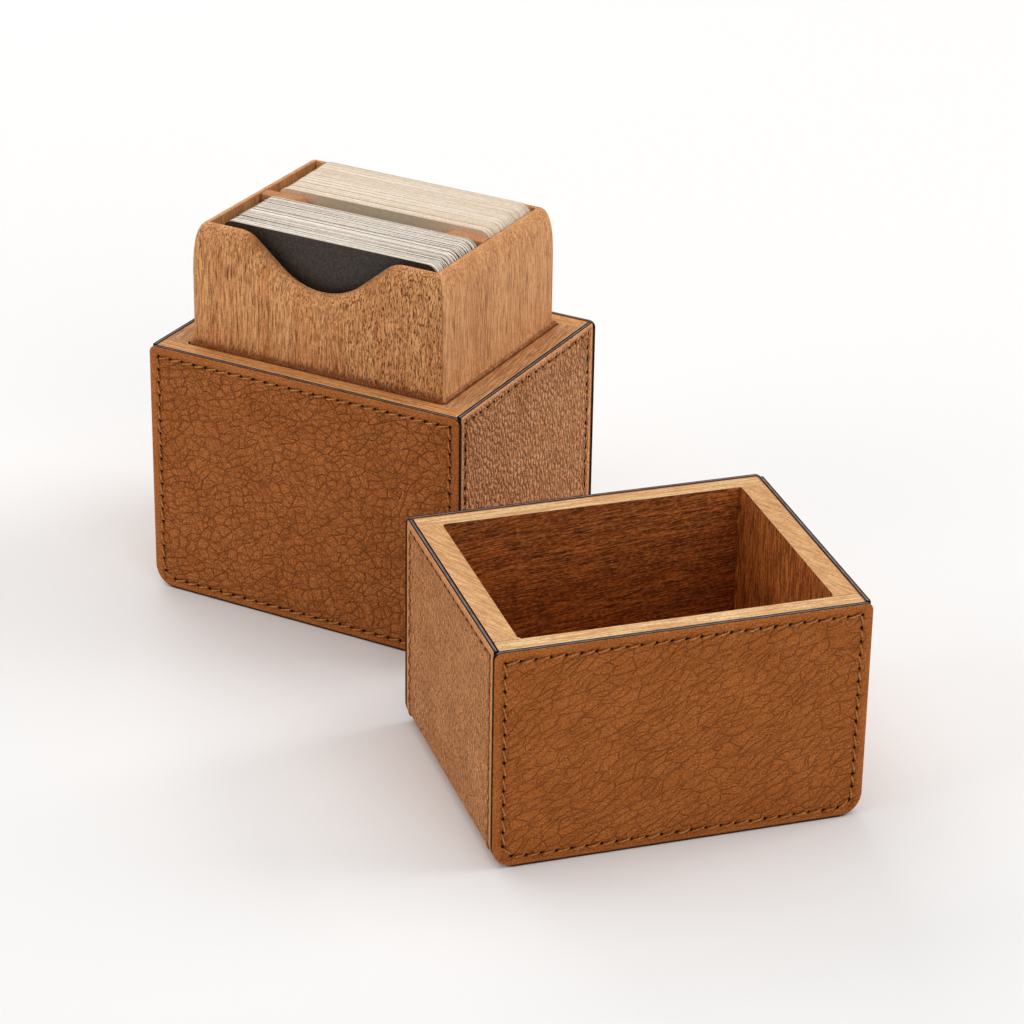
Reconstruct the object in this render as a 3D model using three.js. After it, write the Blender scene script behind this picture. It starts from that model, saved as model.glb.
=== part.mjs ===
// A leather-clad wooden case for two decks of playing cards, shown open: the base with its card tray,
// and the lid standing beside it with its open side up. Lengths are in millimetres, +Z is up, the front
// faces -Y, and the origin is the centre of the base's underside.
import * as THREE from "three";

// Playing cards and the two decks, which stand on their short edges
const cardWidth = 63.5;
const cardHeight = 88.9;
const cardThickness = 0.3;
const cardCornerRadius = 3.3;
const cardEdgeGroove = 0.14;
const cardAirGap = 0.1;
const cardsInDeck = 54;
const frontDeckSpacing = 0.38;
const backDeckSpacing = 0.395;
const deckFrontPlay = 0.85;
const deckBackPlay = 1.0;
const deckLeftPlay = 2.2;
const deckRightPlay = 0.7;
const cardsAboveTray = 0.6;

// Tray: moulded walls with finger notches, a divider and a floor
const trayWall = 3.9;
const trayDivider = 4.4;
const trayFloor = 5.6;
const trayRise = 33;
const trayTopLand = 1.0;
const trayInnerEase = 0.4;
const trayRoundHeight = 13;
const trayRoundFullness = 1.9;
const trayFootFlare = 1.0;
const trayFootLean = 0.4;
const trayFootHeight = 3.4;
const trayFootLip = 0.5;
const trayLipEase = 0.15;
const trayCornerRadius = 1.0;
const dividerEase = 1.1;
const notchDepth = 12.3;
const notchBottomRadius = 18;
const notchShoulderRadius = 8;
const notchFlankAngle = THREE.MathUtils.degToRad(40);

// Wooden cases of the base and the lid
const insertSidePlay = 0.4;
const insertFrontPlay = 0.3;
const sideBoard = 5.9;
const endBoard = 4.5;
const floorBoard = 6.5;
const boardCornerEase = 0.6;
const boardCornerTip = 0.15;
const lidHeadroom = 14.8;

// Leather panels round each case
const leather = 1.5;
const leatherBendRadius = 6;
const leatherRimRadius = 1.8;
const leatherEdgeEase = 0.4;
const glueGap = 0.1;

// Where the lid stands beside the base, and how far it is turned
const lidPlaceX = 107.3;
const lidPlaceY = -60.3;
const lidTurn = THREE.MathUtils.degToRad(46.2);

// How finely the curves are faceted
const bendSegments = 6;
const easeSegments = 2;
const cardCornerSegments = 3;
const mouldingSegments = 8;
const footSegments = 4;
const notchArcSegments = 8;
const cornerSegments = 3;

// Sizes that follow from the cards outwards
const compartmentWidth = deckLeftPlay + cardWidth + deckRightPlay;
const compartmentDepth =
  deckFrontPlay + cardsInDeck * Math.max(frontDeckSpacing, backDeckSpacing) + deckBackPlay;
const trayInnerDepth = 2 * compartmentDepth + trayDivider;
const openingWidth = compartmentWidth + 2 * (trayWall + trayFootFlare + insertSidePlay);
const openingDepth = trayInnerDepth + 2 * (trayWall + trayFootFlare + insertFrontPlay);
const caseWidth = openingWidth + 2 * sideBoard;
const caseDepth = openingDepth + 2 * endBoard;
const leatherBuild = leather + glueGap;
const leatherEase = Math.min(leatherEdgeEase, leather / 3);
const outerWidth = caseWidth + 2 * leatherBuild;
const outerDepth = caseDepth + 2 * leatherBuild;
const caseFloorTop = leatherBuild + floorBoard;
const trayFloorTop = caseFloorTop + trayFloor;
const trayTop = trayFloorTop + cardHeight - cardsAboveTray;
const baseHeight = trayTop - trayRise;
const lidHeight = caseFloorTop + lidHeadroom + cardsAboveTray + trayRise;
const deckCentreX = (deckLeftPlay - deckRightPlay) / 2;
const cornerTurn = Math.PI / 4;

// Colours and finishes
function finish(color, roughness) {
  return new THREE.MeshStandardMaterial({ color, roughness, metalness: 0 });
}

const leatherFinish = finish(0x91562f, 0.55);
const caseWoodFinish = finish(0xdfae78, 0.6);
const trayWoodFinish = finish(0xbe8a5b, 0.6);
const whiteCardFinish = finish(0xdcd7cf, 0.5);
const creamCardFinish = finish(0xe4dac9, 0.5);
const blackCardFinish = finish(0x2b2624, 0.55);
const taupeCardFinish = finish(0xa3907a, 0.55);

function piece(name, geometry, material) {
  const mesh = new THREE.Mesh(geometry, material);
  mesh.name = name;
  return mesh;
}

// A closed solid through rings of points that all have the same count, each ring flat at the two ends.
// The flat outline of a ring, which closes the ends, is given by its points' y and z.
function loft(rings) {
  const count = rings[0].length;
  const positions = rings.flat().flatMap((point) => [point.x, point.y, point.z]);
  const index = [];
  for (let ring = 0; ring + 1 < rings.length; ring++) {
    for (let at = 0; at < count; at++) {
      const next = (at + 1) % count;
      const here = ring * count;
      const there = here + count;
      index.push(here + at, here + next, there + next, here + at, there + next, there + at);
    }
  }
  const last = (rings.length - 1) * count;
  for (const [start, flip] of [[0, true], [last, false]]) {
    const outline = rings[start / count].map((point) => new THREE.Vector2(point.y, point.z));
    for (const [a, b, c] of THREE.ShapeUtils.triangulateShape(outline, [])) {
      index.push(...(flip ? [start + c, start + b, start + a] : [start + a, start + b, start + c]));
    }
  }
  const geometry = new THREE.BufferGeometry();
  geometry.setAttribute("position", new THREE.Float32BufferAttribute(positions, 3));
  geometry.setIndex(index);
  geometry.computeVertexNormals();
  return geometry;
}

// Outlines

// The points of an arc in a plane, from one angle to another
function arcPoints(centreX, centreY, radiusX, radiusY, from, to, segments) {
  const points = [];
  for (let step = 0; step <= segments; step++) {
    const angle = from + ((to - from) * step) / segments;
    points.push(
      new THREE.Vector2(centreX + radiusX * Math.cos(angle), centreY + radiusY * Math.sin(angle)),
    );
  }
  return points;
}

// A quarter of a circle, counted anticlockwise from the one that starts at +X
function quarter(centreX, centreY, radius, number, segments) {
  const from = (number * Math.PI) / 2;
  return arcPoints(centreX, centreY, radius, radius, from, from + Math.PI / 2, segments);
}

// A rectangle standing on y = 0 and centred on x = 0, drawn in by an inset, with one radius for its
// lower corners and one for its upper corners
function roundedOutline(width, height, lowerRadius, upperRadius, segments, inset) {
  const lower = width / 2 - lowerRadius;
  const upper = width / 2 - upperRadius;
  return [
    ...quarter(lower, lowerRadius, lowerRadius - inset, 3, segments),
    ...quarter(upper, height - upperRadius, upperRadius - inset, 0, segments),
    ...quarter(-upper, height - upperRadius, upperRadius - inset, 1, segments),
    ...quarter(-lower, lowerRadius, lowerRadius - inset, 2, segments),
  ];
}

// A strip of leather bent up on both sides of the closed end, with softened rim edges
function wrapOutline(width, height) {
  const ease = leatherEase;
  const rim = height - ease;
  const outside = width / 2 - ease;
  const inside = width / 2 - leather + ease;
  const bend = leatherBendRadius;
  const bendCentre = width / 2 - bend;
  return [
    ...quarter(bendCentre, bend, bend, 3, bendSegments),
    ...quarter(outside, rim, ease, 0, easeSegments),
    ...quarter(inside, rim, ease, 1, easeSegments),
    ...quarter(bendCentre, bend, bend - leather, 3, bendSegments).reverse(),
    ...quarter(-bendCentre, bend, bend - leather, 2, bendSegments).reverse(),
    ...quarter(-inside, rim, ease, 0, easeSegments),
    ...quarter(-outside, rim, ease, 1, easeSegments),
    ...quarter(-bendCentre, bend, bend, 2, bendSegments),
  ];
}

// An upright outline made solid along Y, from -depth / 2 to depth / 2, with eased edges
function extrudeAlongY(outline, depth, ease) {
  const geometry = new THREE.ExtrudeGeometry(new THREE.Shape(outline), {
    depth: depth - 2 * ease,
    bevelEnabled: ease > 0,
    bevelThickness: ease,
    bevelSize: ease,
    bevelOffset: -ease,
    bevelSegments: easeSegments,
  });
  geometry.translate(0, 0, ease - depth / 2);
  geometry.rotateX(Math.PI / 2);
  return geometry;
}

// Leather-clad case, used for the base and for the lid, with its closed end down

function caseFloorGeometry() {
  const half = caseWidth / 2;
  const radius = Math.min(leatherBendRadius - leatherBuild, floorBoard);
  const outline = [
    ...quarter(half - radius, radius, radius, 3, bendSegments),
    new THREE.Vector2(half, floorBoard),
    new THREE.Vector2(-half, floorBoard),
    ...quarter(radius - half, radius, radius, 2, bendSegments),
  ];
  return extrudeAlongY(outline, caseDepth, 0);
}

// A board between the front and back boards, seen from above, with a small cove at each inner corner.
// Its outer face lies on x = 0 and its inner face on x = -sideBoard.
function sideBoardGeometry(height) {
  const half = openingDepth / 2 - glueGap;
  const tip = -sideBoard - boardCornerEase;
  const coveCentre = half - boardCornerTip - boardCornerEase;
  const outline = [
    new THREE.Vector2(0, -half),
    new THREE.Vector2(0, half),
    new THREE.Vector2(tip, half),
    ...quarter(tip, coveCentre, boardCornerEase, 0, easeSegments).reverse(),
    ...quarter(tip, -coveCentre, boardCornerEase, 3, easeSegments).reverse(),
    new THREE.Vector2(tip, -half),
  ];
  return new THREE.ExtrudeGeometry(new THREE.Shape(outline), { depth: height, bevelEnabled: false });
}

function cladCase(prefix, height) {
  const group = new THREE.Group();
  const wallBottom = caseFloorTop + glueGap;
  const wallHeight = height - wallBottom;

  const floor = piece(`${prefix}_floor_board`, caseFloorGeometry(), caseWoodFinish);
  floor.position.z = leatherBuild;
  group.add(floor);

  for (const [side, toward] of [["front", -1], ["back", 1]]) {
    const board = piece(
      `${prefix}_${side}_board`,
      new THREE.BoxGeometry(caseWidth, endBoard, wallHeight),
      caseWoodFinish,
    );
    board.position.set(0, (toward * (caseDepth - endBoard)) / 2, wallBottom + wallHeight / 2);
    const outline = roundedOutline(
      outerWidth,
      height,
      leatherBendRadius,
      leatherRimRadius,
      bendSegments,
      0,
    );
    const panel = piece(
      `${prefix}_leather_${side}`,
      extrudeAlongY(outline, leather, leatherEase),
      leatherFinish,
    );
    panel.position.y = (toward * (outerDepth - leather)) / 2;
    group.add(board, panel);
  }

  for (const [side, turn] of [["left", Math.PI], ["right", 0]]) {
    const board = piece(`${prefix}_${side}_board`, sideBoardGeometry(wallHeight), caseWoodFinish);
    board.rotation.z = turn;
    board.position.set((Math.cos(turn) * caseWidth) / 2, 0, wallBottom);
    group.add(board);
  }

  const wrapDepth = outerDepth - 2 * leatherBuild;
  const wrap = extrudeAlongY(wrapOutline(outerWidth, height), wrapDepth, 0);
  group.add(piece(`${prefix}_leather_wrap`, wrap, leatherFinish));
  return group;
}

// Finger notch: a round bottom, two straight flanks and two rounded shoulders. Each entry has the
// distance from the middle and the drop below the wall's top there.
function notchHalf() {
  const slope = notchFlankAngle;
  const bottomReach = notchBottomRadius * Math.sin(slope);
  const bottomClimb = notchBottomRadius * (1 - Math.cos(slope));
  const shoulderClimb = notchShoulderRadius * (1 - Math.cos(slope));
  const flankClimb = Math.max(notchDepth - bottomClimb - shoulderClimb, 0);
  const flankReach = flankClimb / Math.tan(slope);
  const notchReach = bottomReach + flankReach + notchShoulderRadius * Math.sin(slope);
  const notchFall = bottomClimb + flankClimb + shoulderClimb;
  const bottom = arcPoints(
    0,
    notchFall - notchBottomRadius,
    notchBottomRadius,
    notchBottomRadius,
    Math.PI / 2,
    Math.PI / 2 - slope,
    notchArcSegments,
  );
  const shoulder = arcPoints(
    notchReach,
    notchShoulderRadius,
    notchShoulderRadius,
    notchShoulderRadius,
    -Math.PI / 2 - slope,
    -Math.PI / 2,
    notchArcSegments,
  );
  return [...bottom, ...shoulder];
}

// Stations across the notch of a wall, from left to right
function notchStations() {
  const right = notchHalf().map((point) => ({ x: point.x, drop: point.y }));
  const left = right.slice(1).reverse().map((station) => ({ ...station, x: -station.x }));
  return [...left, ...right];
}

// The outside of a tray wall below its narrow top: tight at the edge, then a long soft curve down
function trayRoundPoints(top) {
  const reach = trayWall - trayTopLand;
  return [...Array(mouldingSegments + 1).keys()].map((step) => {
    const share = step / mouldingSegments;
    const drawnIn = reach * (1 - share) ** trayRoundFullness;
    return new THREE.Vector2(trayWall - drawnIn, top - trayRoundHeight * share * share);
  });
}

// The foot of a tray wall: it leans out a little, and ends in a thin lip that lies on the case's rim line
function trayFootPoints() {
  const lipTop = baseHeight + Math.min(trayFootLip, trayFootHeight / 2);
  const lean = Math.min(trayFootLean, trayFootFlare / 2);
  const ease = Math.min(trayLipEase, (lipTop - baseHeight) / 2);
  const outside = trayWall + trayFootFlare;
  const fall = baseHeight + trayFootHeight - lipTop;
  const leaning = [...Array(footSegments + 1).keys()].map((step) => {
    const share = step / footSegments;
    return new THREE.Vector2(trayWall + lean * share * share, lipTop + fall * (1 - share));
  });
  return [
    ...leaning,
    ...quarter(outside - ease, lipTop - ease, ease, 0, easeSegments).reverse(),
    new THREE.Vector2(outside, caseFloorTop),
  ];
}

// The section of a tray wall: x is the distance out from its inner face, y its height. From a plain
// inner face it goes over a narrow top, down the full round to the flat of the wall, and to its foot.
function trayWallSection(top) {
  const ease = Math.min(trayInnerEase, trayTopLand);
  return [
    new THREE.Vector2(0, caseFloorTop),
    ...arcPoints(ease, top - ease, ease, ease, Math.PI, Math.PI / 2, easeSegments),
    ...trayRoundPoints(top),
    ...trayFootPoints(),
  ];
}

// One end of a tray wall, turned through part of the rounded corner. At a full turn it lies in the
// mitre plane, where the next wall meets it.
function trayWallEnd(innerHalf, side, turn) {
  const shift = innerHalf - glueGap / 2;
  return trayWallSection(trayTop).map((point) => {
    const radius = Math.min(trayCornerRadius, point.x);
    const drawnIn = radius * (1 - Math.cos(turn));
    const drawnInAtMitre = radius * (1 - Math.cos(cornerTurn));
    const along = (trayCornerRadius - drawnInAtMitre) * (Math.sin(turn) / Math.sin(cornerTurn));
    const x = side * (shift + point.x - trayCornerRadius + along);
    return new THREE.Vector3(x, drawnIn - point.x, point.y);
  });
}

// A tray wall whose inner face lies on y = 0 and whose outside faces -Y, mitred at both ends
function trayWallGeometry(innerHalf, notched) {
  const turns = [...Array(cornerSegments + 1).keys()].map(
    (step) => (cornerTurn * step) / cornerSegments,
  );
  const ends = (side) => turns.map((turn) => trayWallEnd(innerHalf, side, turn));
  const middle = (notched ? notchStations() : []).map((station) =>
    trayWallSection(trayTop - station.drop).map(
      (point) => new THREE.Vector3(station.x, -point.x, point.y),
    ),
  );
  return loft([...ends(-1).reverse(), ...middle, ...ends(1)]);
}

// The divider stands on the tray's floor, with the same notch and both its top edges softened
function dividerGeometry() {
  const half = trayDivider / 2;
  const ease = Math.min(dividerEase, half);
  const end = compartmentWidth / 2 - glueGap;
  const stations = [{ x: -end, drop: 0 }, ...notchStations(), { x: end, drop: 0 }];
  const rings = stations.map((station) => {
    const top = trayTop - station.drop;
    const section = [
      new THREE.Vector2(half, trayFloorTop),
      ...arcPoints(half - ease, top - ease, ease, ease, 0, Math.PI / 2, easeSegments),
      ...arcPoints(ease - half, top - ease, ease, ease, Math.PI / 2, Math.PI, easeSegments),
      new THREE.Vector2(-half, trayFloorTop),
    ];
    return section.map((point) => new THREE.Vector3(station.x, point.x, point.y));
  });
  return loft(rings);
}

function cardTray() {
  const group = new THREE.Group();
  const halfWidth = compartmentWidth / 2;
  const halfDepth = trayInnerDepth / 2;
  const walls = [
    ["tray_front_wall", halfWidth, true, 0, 0, -halfDepth],
    ["tray_back_wall", halfWidth, true, Math.PI, 0, halfDepth],
    ["tray_left_wall", halfDepth, false, -Math.PI / 2, -halfWidth, 0],
    ["tray_right_wall", halfDepth, false, Math.PI / 2, halfWidth, 0],
  ];
  for (const [name, innerHalf, notched, turn, x, y] of walls) {
    const wall = piece(name, trayWallGeometry(innerHalf, notched), trayWoodFinish);
    wall.rotation.z = turn;
    wall.position.set(x, y, 0);
    group.add(wall);
  }
  group.add(piece("tray_divider", dividerGeometry(), trayWoodFinish));
  const floor = piece(
    "tray_floor",
    new THREE.BoxGeometry(compartmentWidth - 2 * glueGap, trayInnerDepth - 2 * glueGap, trayFloor),
    trayWoodFinish,
  );
  floor.position.z = caseFloorTop + trayFloor / 2;
  group.add(floor);
  return group;
}

// Decks of cards

// The outline of one card, drawn in from its edge by a small distance
function cardOutline(inset) {
  const radius = cardCornerRadius;
  return roundedOutline(cardWidth, cardHeight, radius, radius, cardCornerSegments, inset);
}

// Cards standing one behind the other, each with its own ridge where its edge shows
function cardStackGeometry(cards, spacing) {
  const rings = [];
  for (let half = 0; half <= 2 * cards; half++) {
    const betweenCards = half % 2 === 0 && half > 0 && half < 2 * cards;
    const outline = cardOutline(betweenCards ? cardEdgeGroove : 0);
    rings.push(outline.map((point) => new THREE.Vector3((half * spacing) / 2, point.x, point.y)));
  }
  const geometry = loft(rings);
  geometry.rotateZ(Math.PI / 2);
  return geometry;
}

// One deck: its face card in front, its rear card behind and the other cards between them
function cardDeck(prefix, compartmentBack, spacing, stackFinish, outerFinish) {
  const group = new THREE.Group();
  const back = compartmentBack - deckBackPlay;
  const front = back - cardsInDeck * spacing;
  const outerCard = cardThickness + cardAirGap;
  const stackDepth = back - front - 2 * outerCard;
  const stack = piece(
    `${prefix}_cards`,
    cardStackGeometry(cardsInDeck - 2, stackDepth / (cardsInDeck - 2)),
    stackFinish,
  );
  stack.position.set(deckCentreX, front + outerCard, trayFloorTop);
  group.add(stack);
  for (const [side, middle] of [
    ["face", front + cardThickness / 2],
    ["rear", back - cardThickness / 2],
  ]) {
    const card = piece(
      `${prefix}_${side}_card`,
      extrudeAlongY(cardOutline(0), cardThickness, 0),
      outerFinish,
    );
    card.position.set(deckCentreX, middle, trayFloorTop);
    group.add(card);
  }
  return group;
}

// The whole object
const holder = new THREE.Group();
holder.add(cladCase("base", baseHeight));
holder.add(cardTray());
holder.add(
  cardDeck(
    "front_deck",
    -trayDivider / 2,
    frontDeckSpacing,
    whiteCardFinish,
    blackCardFinish,
  ),
);
holder.add(
  cardDeck(
    "back_deck",
    trayDivider / 2 + compartmentDepth,
    backDeckSpacing,
    creamCardFinish,
    taupeCardFinish,
  ),
);
const lid = cladCase("lid", lidHeight);
lid.position.set(lidPlaceX, lidPlaceY, 0);
lid.rotation.z = lidTurn;
holder.add(lid);

export default holder;
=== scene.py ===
import math
import random

import bpy
import numpy as np
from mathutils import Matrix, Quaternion, Vector

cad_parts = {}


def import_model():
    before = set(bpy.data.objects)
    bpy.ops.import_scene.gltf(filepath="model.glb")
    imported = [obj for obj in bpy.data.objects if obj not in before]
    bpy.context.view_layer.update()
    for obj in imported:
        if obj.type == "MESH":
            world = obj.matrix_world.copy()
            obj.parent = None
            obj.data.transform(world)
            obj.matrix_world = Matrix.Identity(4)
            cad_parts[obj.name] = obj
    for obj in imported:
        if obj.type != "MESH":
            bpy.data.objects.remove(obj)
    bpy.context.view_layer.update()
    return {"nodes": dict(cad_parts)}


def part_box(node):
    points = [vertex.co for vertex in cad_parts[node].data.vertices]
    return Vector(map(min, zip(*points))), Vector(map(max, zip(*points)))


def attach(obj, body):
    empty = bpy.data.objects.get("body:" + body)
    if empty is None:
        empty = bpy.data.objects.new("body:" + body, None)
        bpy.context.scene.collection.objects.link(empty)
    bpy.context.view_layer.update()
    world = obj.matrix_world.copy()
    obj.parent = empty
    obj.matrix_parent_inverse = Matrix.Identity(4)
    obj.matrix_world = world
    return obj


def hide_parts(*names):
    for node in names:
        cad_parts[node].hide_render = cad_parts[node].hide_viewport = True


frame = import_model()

MM = 0.001

# Sizes in millimetres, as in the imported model
LEATHER = 1.5
BEND_RADIUS = 6.0
RIM_RADIUS = 1.8
GLUE_GAP = 0.1
LID_PLACE = (107.3, -60.3)
LID_TURN = math.radians(46.2)
CARD_RADIUS = 3.3
CARDS_IN_DECK = 54

# Seams: how far in from the edge of a panel or a strip they lie, how far apart the needle holes
# are, and how the thread arches from one to the next
PANEL_SEAM_INSET = 2.65
WRAP_SEAM_INSET = 2.3
SEAM_PITCH = 3.65
THREAD_RADIUS = 0.21
THREAD_SLANT = math.radians(12)
THREAD_DIVE = 0.3
THREAD_ARCH = 0.47
THREAD_TWIST = 2.2
THREAD_SIDES, THREAD_RINGS = 8, 9
HOLE_SIDES = 10
HOLE_DEPTH = 0.2
# The floor of a hole goes down towards its outline: share of its size, and drop
HOLE_RINGS = ((0.6, 0.004), (1.0, 0.04))
# The groove of a seam, and the dimple at each hole: depth and half width
SEAM_GROOVE = (0.16, 0.5)
HOLE_DIMPLE = (0.2, 0.45)
SEAM_REACH = 1.5
# A seam turns a corner where the cosine of its turn is below this
SHARP_COSINE = 0.5
CORNER_STEPS = 6

# Meshes of the leather: steps of the grid along its border, inside it and underneath
FINE_STEP = 0.22
COARSE_STEP = 0.37
UNDERSIDE_STEP = 2.5
BORDER = 4.0
EDGE_EASE = 0.4
LEATHER_SLOT, PAINT_SLOT = 0, 1
# How far up a panel the dark paint of its foot reaches, and over how far it fades. It is edge
# paint and painted shadow where the panel stands on the floor.
PAINT_REACH, PAINT_FADE = 0.76, 0.25
# How far from the calm border the leather's grain comes up
GRAIN_FADE = 1.2

# The leather's grain: scales of the noise that moves the creases and the pebbles, with its reach
CREASE_WANDER = ((0.06, 7.0), (0.3, 1.0), (1.0, 0.4))
PEBBLE_WANDER = (0.9, 0.4)
# Long creases: scales along and across of the noise that bends them, in their spacings, and of the
# noise that says where they show
LONG_WAVE, WAVE_REACH, LONG_SHOWN = (0.05, 0.11, 0), 1.5, (0.13, 0.36, 0)
# How wide a crease is to each side: as a dark line, as a fold and as the dome beside it
LINE_WIDTH, FOLD_WIDTH, DOME_WIDTH = 0.21, 0.75, 0.8
WRINKLE_WIDTH = 0.17
# The same for the valley round a pebble, in shares of its size
VALLEY_FOLD, VALLEY_SWELL, VALLEY_SHADE = 0.3, 0.32, 0.34

# Ranges of noise from its darker to its lighter parts
MOST = (0.3, 0.7)
LOW_SPECKS, HIGH_SPECKS = (0.34, 0.48), (0.5, 0.66)


def extent(node):
    low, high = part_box(node)
    return np.array(low) / MM, np.array(high) / MM


PANEL_LOW, PANEL_HIGH = extent("base_leather_front")
WIDTH = PANEL_HIGH[0] - PANEL_LOW[0]
BASE_HEIGHT = PANEL_HIGH[2]
DEPTH = 2 * abs(PANEL_LOW[1])
LID_HEIGHT = extent("lid_leather_front")[1][2]
WRAP_DEPTH = DEPTH - 2 * (LEATHER + GLUE_GAP)
# How far the open middle of a case reaches to each side of its centre
OPENING = (extent("base_right_board")[0][0], extent("base_back_board")[0][1])


# Node trees


class Tree:
    """Adds nodes to a tree. An input can be a number, a tuple or another node's output."""

    def __init__(self, tree):
        self.tree = tree

    def feed(self, socket, value):
        if isinstance(value, bpy.types.NodeSocket):
            self.tree.links.new(value, socket)
        else:
            socket.default_value = value

    def add(self, kind, inputs=None, **settings):
        node = self.tree.nodes.new(kind)
        for key, value in settings.items():
            setattr(node, key, value)
        for key, value in (inputs or {}).items():
            self.feed(node.inputs[key], value)
        return node

    def math(self, operation, a, b=0.0, clamp=False):
        node = self.add("ShaderNodeMath", {0: a, 1: b}, operation=operation, use_clamp=clamp)
        return node.outputs[0]

    def times(self, a, b):
        return self.math("MULTIPLY", a, b)

    def plus(self, a, b):
        return self.math("ADD", a, b)

    def minus(self, a, b):
        return self.math("SUBTRACT", a, b)

    def larger(self, a, b):
        return self.math("MAXIMUM", a, b)

    def vector(self, operation, a, b=(0.0, 0.0, 0.0), output="Vector"):
        node = self.add("ShaderNodeVectorMath", {0: a, 1: b}, operation=operation)
        return node.outputs[output]

    def scaled(self, a, scale):
        return self.vector("MULTIPLY", a, scale)

    def part(self, vector, axis):
        return self.add("ShaderNodeSeparateXYZ", {0: vector}).outputs[axis]

    def noise(self, at, scale, detail=2.0, roughness=0.5, output=0):
        inputs = {"Vector": at, "Scale": scale, "Detail": detail, "Roughness": roughness}
        return self.add("ShaderNodeTexNoise", inputs).outputs[output]

    def ramp(self, value, low, high, to_low=0.0, to_high=1.0):
        inputs = {0: value, 1: low, 2: high, 3: to_low, 4: to_high}
        node = self.add("ShaderNodeMapRange", inputs, interpolation_type="SMOOTHSTEP")
        return node.outputs[0]

    def mix(self, share, a, b):
        node = self.add(
            "ShaderNodeMix", {0: share, 6: a, 7: b}, data_type="RGBA", clamp_factor=True
        )
        return node.outputs[2]

    def tint(self, colour, *layers):
        """A colour with others laid over it, each by its share."""
        for share, rgb in layers:
            colour = self.mix(share, colour, srgb(rgb))
        return colour

    def blend(self, value, low, high, shade, light):
        """A colour between two others, by where a value lies in a range."""
        return self.mix(self.ramp(value, low, high), srgb(shade), srgb(light))

    def own(self, name, output="Fac"):
        """An attribute of the mesh."""
        return self.add("ShaderNodeAttribute", attribute_name=name).outputs[output]

    def place(self):
        return self.add("ShaderNodeTexCoord").outputs["Object"]

    def normal(self):
        return self.add("ShaderNodeNewGeometry").outputs["Normal"]

    def mapped(self, at, turn, shift=(0.0, 0.0, 0.0), scale=1.0):
        """Places as seen from a frame that is turned, shifted and scaled."""
        inputs = {"Vector": at, "Rotation": turn, "Location": shift, "Scale": [scale] * 3}
        return self.add("ShaderNodeMapping", inputs, vector_type="TEXTURE").outputs[0]


def srgb(rgb):
    """A colour given as it looks, from 0 to 255, in the linear values that a shader takes."""
    return tuple(
        v / 12.92 if v <= 0.04045 else ((v + 0.055) / 1.055) ** 2.4 for v in (c / 255 for c in rgb)
    ) + (1.0,)


def new_material(name):
    material = bpy.data.materials.new(name)
    material.use_nodes = True
    return material, Tree(material.node_tree), material.node_tree.nodes["Principled BSDF"]


def set_surface(tree, shader, colour, roughness, specular):
    tree.feed(shader.inputs["Base Color"], colour)
    shader.inputs["Roughness"].default_value = roughness
    shader.inputs["Specular IOR Level"].default_value = specular


def bump(tree, shader, height, distance_mm):
    inputs = {"Height": height, "Distance": distance_mm * MM, "Strength": 1.0}
    tree.feed(shader.inputs["Normal"], tree.add("ShaderNodeBump", inputs).outputs[0])


def geometry_group(name):
    """A new geometry group with its tree and its incoming geometry."""
    group = bpy.data.node_groups.new(name, "GeometryNodeTree")
    for way in ("INPUT", "OUTPUT"):
        group.interface.new_socket("Geometry", in_out=way, socket_type="NodeSocketGeometry")
    tree = Tree(group)
    return group, tree, tree.add("NodeGroupInput").outputs[0]


# Leather


def wandering(tree, at, scale, reach):
    """The same places, each moved a little way by noise."""
    moved = tree.vector("SUBTRACT", tree.noise(at, scale, output=1), (0.5, 0.5, 0.5))
    return tree.vector("ADD", at, tree.scaled(moved, (reach, reach, 0)))


def turned(tree, at, degrees):
    angle = math.radians(-degrees)
    inputs = {"Vector": at, "Angle": angle}
    return tree.add("ShaderNodeVectorRotate", inputs, rotation_type="Z_AXIS").outputs[0]


def cells(tree, at, size, feature, output):
    inputs = {"Vector": at, "Scale": 1 / size, "Randomness": 1.0}
    node = tree.add("ShaderNodeTexVoronoi", inputs, feature=feature, voronoi_dimensions="2D")
    return node.outputs[output]


def cell_edge(tree, at, degrees, stretch, size):
    """The distance in millimetres to the nearest edge between cells that are drawn out one way."""
    here = tree.scaled(turned(tree, at, degrees), (1 / stretch, 1, 1))
    return tree.times(cells(tree, here, size, "DISTANCE_TO_EDGE", "Distance"), size)


def crease_gap(tree, at, degrees, stretch, size):
    """The distance in millimetres to the edge between the two nearest of a set of drawn-out cells,
    the same on every side of a cell, so that all its creases are equally wide."""
    shrink = (1 / stretch, 1, 1)
    here = tree.scaled(turned(tree, at, degrees), shrink)
    ways = []
    for feature in ("F1", "F2"):
        centre = cells(tree, here, size, feature, "Position")
        ways.append(tree.scaled(tree.vector("SUBTRACT", centre, here), (1, 1, 0)))
    near, far = (tree.vector("DOT_PRODUCT", way, way, "Value") for way in ways)
    apart = tree.scaled(tree.vector("SUBTRACT", ways[1], ways[0]), shrink)
    length = tree.vector("LENGTH", apart, output="Value")
    return tree.math("DIVIDE", tree.minus(far, near), tree.times(length, 2.0))


def long_crease(tree, at, degrees, spacing):
    """The distance to the nearest of many long creases that run one way, and where they show."""
    at = turned(tree, at, degrees)
    wave = tree.noise(tree.scaled(at, LONG_WAVE), 1.0)
    place = tree.plus(tree.times(tree.part(at, 1), 1 / spacing), tree.times(wave, WAVE_REACH))
    gap = tree.times(tree.math("PINGPONG", place, 0.5), spacing)
    shown = tree.noise(tree.scaled(at, LONG_SHOWN), 1.0, detail=1.0)
    return gap, tree.ramp(shown, 0.4, 0.52)


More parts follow.
